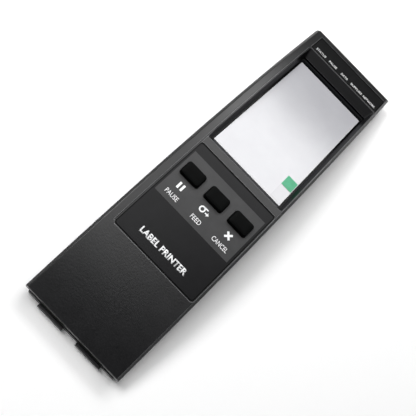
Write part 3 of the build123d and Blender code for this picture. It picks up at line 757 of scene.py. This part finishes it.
def addSheet(left, right, low, high):
    # flat sheet between these places, in mm across and up the panel
    clearSelection()
    middle = ((left + right) / 2 * mm, along((low + high) / 2), drawingHeight)
    bpy.ops.mesh.primitive_plane_add(size=mm, location=middle)
    sheet = bpy.context.object
    sheet.scale = (right - left, high - low, 1)
    settle(sheet)
    return sheet


def roundCorners(sheet, corner):
    openEdit(sheet)
    bpy.ops.mesh.select_mode(type="VERT")
    bpy.ops.mesh.select_all(action="SELECT")
    bpy.ops.mesh.bevel(offset=corner * mm, segments=4, affect="VERTICES")
    closeEdit()


def makePauseIcon():
    shape = iconPrint["pause"]
    wide, tall = shape["bar"]
    middle = iconPrint["distance"]
    bars = []
    for side in (-1, 1):
        centre = shape["centre"] + side * (shape["gap"] + wide) / 2
        bar = addSheet(centre - wide / 2, centre + wide / 2, middle - tall / 2, middle + tall / 2)
        roundCorners(bar, shape["corner"])
        bars.append(bar)
    piece = joinPieces("pauseIcon", bars)
    layInk(piece, "key_label", iconPrint["lift"])
    finishPiece(piece, "root", whiteInk)


def makeCancelIcon():
    # a square whose four edges are drawn out into arms, turned so that the arms cross aslant
    shape = iconPrint["cancel"]
    half = shape["thick"] / 2
    centre, middle = shape["centre"], iconPrint["distance"]
    piece = addSheet(centre - half, centre + half, middle - half, middle + half)
    for across, up in ((1, 0), (-1, 0), (0, 1), (0, -1)):
        edge = Vector(((centre + across * half) * mm, along(middle + up * half), drawingHeight))
        pickEdges(piece, lambda e: ((e.verts[0].co + e.verts[1].co) / 2 - edge).length < 0.1 * mm)
        move = (across * shape["arm"] * mm, up * shape["arm"] * mm, 0)
        bpy.ops.mesh.extrude_region_move(TRANSFORM_OT_translate={"value": move})
    bpy.ops.mesh.select_all(action="SELECT")
    pivot = (centre * mm, along(middle), drawingHeight)
    bpy.ops.transform.rotate(value=math.radians(45), orient_axis="Z", center_override=pivot)
    closeEdit()
    piece.name = "cancelIcon"
    layInk(piece, "key_label", iconPrint["lift"])
    finishPiece(piece, "root", whiteInk)


def makeFeedIcon():
    # a roll of labels seen from its end, its tail drawn off the top, and an arrow beside it
    roll, arrow, middle = iconPrint["roll"], iconPrint["arrow"], iconPrint["distance"]
    clearSelection()
    place = (roll["centre"] * mm, along(middle), drawingHeight)
    bpy.ops.mesh.primitive_circle_add(vertices=32, radius=roll["outer"] * mm, location=place)
    ring = bpy.context.object
    settle(ring)
    pickEdges(ring, lambda e: True)
    bpy.ops.mesh.extrude_edges_move()
    bpy.ops.transform.resize(value=(roll["hole"], roll["hole"], 1), center_override=place)
    closeEdit()
    top = middle + roll["outer"]
    tail = addSheet(roll["centre"], roll["tail"], top - roll["tailThick"], top)
    level = middle - arrow["drop"]
    shaftHalf, headHalf = arrow["shaft"] / 2, arrow["head"] / 2
    shaft = addSheet(arrow["start"], arrow["shaftEnd"], level - shaftHalf, level + shaftHalf)
    head = addSheet(arrow["headStart"], arrow["tip"], level - headHalf, level + headHalf)
    pickEdges(head, lambda e: min(v.co.x for v in e.verts) > (arrow["tip"] - 0.1) * mm)
    bpy.ops.transform.resize(value=(1, arrow["point"], 1))
    closeEdit()
    piece = joinPieces("feedIcon", [ring, tail, shaft, head])
    layInk(piece, "key_label", iconPrint["lift"])
    finishPiece(piece, "root", whiteInk)


makePauseIcon()
makeCancelIcon()
makeFeedIcon()

# Bands of painted shade in mm, along each label's pocket edge: each has an outline on its label, and all are
# this wide.
border = {
    "wide": 0.55,
    "keyLabelBorder": {
        "label": "key_label", "left": -29.15, "right": 33.95, "low": 56.65, "high": 128.55, "corner": 1.7,
    },
    "statusLabelBorder": {
        "label": "status_label", "left": -29.6, "right": 34.4, "low": 249.2, "high": 264.8, "corner": 0.5,
    },
}
outlineCuts = {"longest": 5.0, "cuts": 24}      # edges longer than this many mm are cut to follow the bow


def ringOutline(name, shape, spread, wide):
    # flat frame round an outline, cut across often enough to follow the bow
    left, right = shape["left"] - spread, shape["right"] + spread
    ring = addSheet(left, right, shape["low"] - spread, shape["high"] + spread)
    ring.name = name
    roundCorners(ring, shape["corner"] + spread)
    pickEdges(ring, lambda e: e.calc_length() > outlineCuts["longest"] * mm)
    bpy.ops.mesh.subdivide(number_cuts=outlineCuts["cuts"])
    bpy.ops.mesh.select_all(action="SELECT")
    bpy.ops.mesh.inset(thickness=wide * mm)
    bpy.ops.mesh.delete(type="FACE")
    closeEdit()
    return ring


def makeBorder(name):
    shape = border[name]
    piece = ringOutline(name, shape, 0, border["wide"])
    layInk(piece, shape["label"])
    finishPiece(piece, "root", shadeLineBorder)


makeBorder("keyLabelBorder")
makeBorder("statusLabelBorder")
print("printing ready")

# Soft keys, in mm unless noted. Each step of the pillow has its shrink and its share of the crown.
softKey = {
    "place": (-0.02505, 0.02924),       # metres, Y and Z where the keys' plane meets the face
    "lean": 2.884,                      # degrees, the plane follows the bow
    "top": (14.4, 9.4), "corner": 1.7,
    "flange": 1.2, "flangeThick": 1.2, "flangeBottom": -3.95,
    "height": 3.0, "crown": 0.32, "edge": 0.8,
    "pillow": ((0.93, 0.4), (0.88, 0.3), (0.8, 0.2), (0.65, 0.1)),
}


def makeSoftKey(name):
    # moulded in one with its flange; its top is pillowed and its rim well rounded
    cadLow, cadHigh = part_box(name + "_key")
    wide, deep = [(size + 2 * softKey["flange"]) * mm for size in softKey["top"]]
    thick = softKey["flangeThick"] * mm
    base = softKey["flangeBottom"] * mm
    clearSelection()
    bpy.ops.mesh.primitive_cube_add(size=1, location=(0, 0, base + thick / 2))
    piece = newest(name + "SoftKey")
    piece.scale = (wide, deep, thick)
    settle(piece)
    pickEdges(piece, lambda e: abs(e.verts[0].co.z - e.verts[1].co.z) > thick / 2)
    bpy.ops.mesh.bevel(offset=(softKey["corner"] + softKey["flange"]) * mm, segments=8)
    pickFaces(piece, lambda f: f.normal.z > 0.9)
    bpy.ops.mesh.inset(thickness=softKey["flange"] * mm)
    rim = (softKey["height"] - softKey["crown"]) * mm
    bpy.ops.mesh.extrude_region_move(TRANSFORM_OT_translate={"value": (0, 0, rim - base - thick)})
    pickEdges(piece, lambda e: all(v.co.z > rim - nearly for v in e.verts))
    bpy.ops.mesh.bevel(offset=softKey["edge"] * mm, segments=5, clamp_overlap=True)
    for shrink, share in softKey["pillow"]:
        pickFaces(piece, lambda f: f.normal.z > 0.999 and f.calc_center_median().z > rim - nearly)
        rise = share * softKey["crown"] * mm
        bpy.ops.mesh.extrude_region_move(TRANSFORM_OT_translate={"value": (0, 0, rise)})
        rim += rise
        bpy.ops.transform.resize(value=(shrink, shrink, 1), center_override=(0, 0, rim))
    closeEdit()
    lean = Matrix.Rotation(math.radians(softKey["lean"]), 4, "X")
    piece.matrix_world = Matrix.Translation(((cadLow.x + cadHigh.x) / 2, *softKey["place"])) @ lean
    settle(piece)
    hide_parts(name + "_key")
    finishPiece(piece, name + "_button", keyRubber, 40)


for name in keyNames:
    makeSoftKey(name)
print("keys ready")

# Bead moulded beside the key label's pocket, in mm: the pocket's outline, then the bead's own
# gap from it, width, rise and rounding, and how far it starts above the shell.
lip = {
    "left": -30.3, "right": 34.4, "low": 56.2, "high": 129.0, "corner": 2.0,
    "gap": 0.08, "wide": 0.32, "rise": 0.1, "round": 0.09, "hover": 0.01,
}


def makeLip():
    # a fine half-round bead along the pocket's lower end and up its right side
    piece = ringOutline("keyLabelLip", lip, lip["gap"] + lip["wide"], lip["wide"])
    top, side = along(lip["high"] - lip["corner"]), (lip["left"] + lip["corner"]) * mm
    pickFaces(piece, lambda f: f.calc_center_median().y > top or f.calc_center_median().x < side)
    bpy.ops.mesh.delete(type="FACE")
    closeEdit()
    dropOn(piece, "front_bezel", lip["hover"])
    applyModifier(piece, "SOLIDIFY", {"thickness": lip["rise"] * mm, "offset": 1})
    applyModifier(piece, "BEVEL", {"width": lip["round"] * mm, "segments": 3, "limit_method": "ANGLE"})
    finishPiece(piece, "root", shellPlastic, 50)


makeLip()
print("bead ready")

# The floor and the light: distances in metres, lamps in watts, turns in degrees.
studio = {
    "floor": "#fefefe", "floorSize": 6, "floorDrop": 0.0002,
    "world": "#fcfcff", "worldStrength": 0.02,
    "lamps": {
        # soft boxes, facing straight down from a metre above the table; the last is lower and tilted
        "keyLight": {"place": (-0.75, 0.0, 1.0), "turn": (0, 0, 0), "size": (0.5, 0.5), "watts": 10.2},
        "headBox": {"place": (-0.17, 0.98, 1.0), "turn": (0, 0, 0), "size": (1.0, 0.5), "watts": 11.2},
        "backBox": {"place": (-0.3, 1.38, 1.0), "turn": (0, 0, 0), "size": (1.0, 0.5), "watts": 0.7},
        "middleBox": {"place": (-0.25, 0.25, 1.0), "turn": (0, 0, 0), "size": (0.5, 1.0), "watts": 4.1},
        "sideBox": {"place": (0.25, 0.5, 1.0), "turn": (0, 0, 0), "size": (0.5, 0.5), "watts": 1.5},
        "fillLight": {"place": (0.75, 0.0, 1.0), "turn": (0, 0, 0), "size": (0.5, 0.5), "watts": 0.5},
        "lowLight": {"place": (-0.2, -1.1, 0.8), "turn": (55, 0, 0), "size": (0.5, 0.5), "watts": 1.1},
    },
}


def makeStudio():
    bpy.ops.mesh.primitive_plane_add(size=studio["floorSize"], location=(0, 0, -studio["floorDrop"]))
    floor = bpy.context.object
    floor.name = "table"
    # white card: bright, even and nearly without shine
    card = startMaterial("whiteCard", studio["floor"], {"Roughness": 0.9, "Specular IOR Level": 0.2})[0]
    floor.data.materials.append(card)
    world = bpy.data.worlds.new("studioRoom")
    bpy.context.scene.world = world
    world.use_nodes = True
    sky = world.node_tree.nodes["Background"]
    sky.inputs["Color"].default_value = toLinear(studio["world"])
    sky.inputs["Strength"].default_value = studio["worldStrength"]
    for name, setup in studio["lamps"].items():
        data = bpy.data.lights.new(name, "AREA")
        data.shape = "RECTANGLE"
        data.size, data.size_y = setup["size"]
        data.energy = setup["watts"]
        lamp = bpy.data.objects.new(name, data)
        bpy.context.scene.collection.objects.link(lamp)
        lamp.location = setup["place"]
        lamp.rotation_euler = [math.radians(angle) for angle in setup["turn"]]
    view = bpy.context.scene.view_settings
    view.view_transform = "Standard"
    view.look = "None"


makeStudio()
print("studio ready")
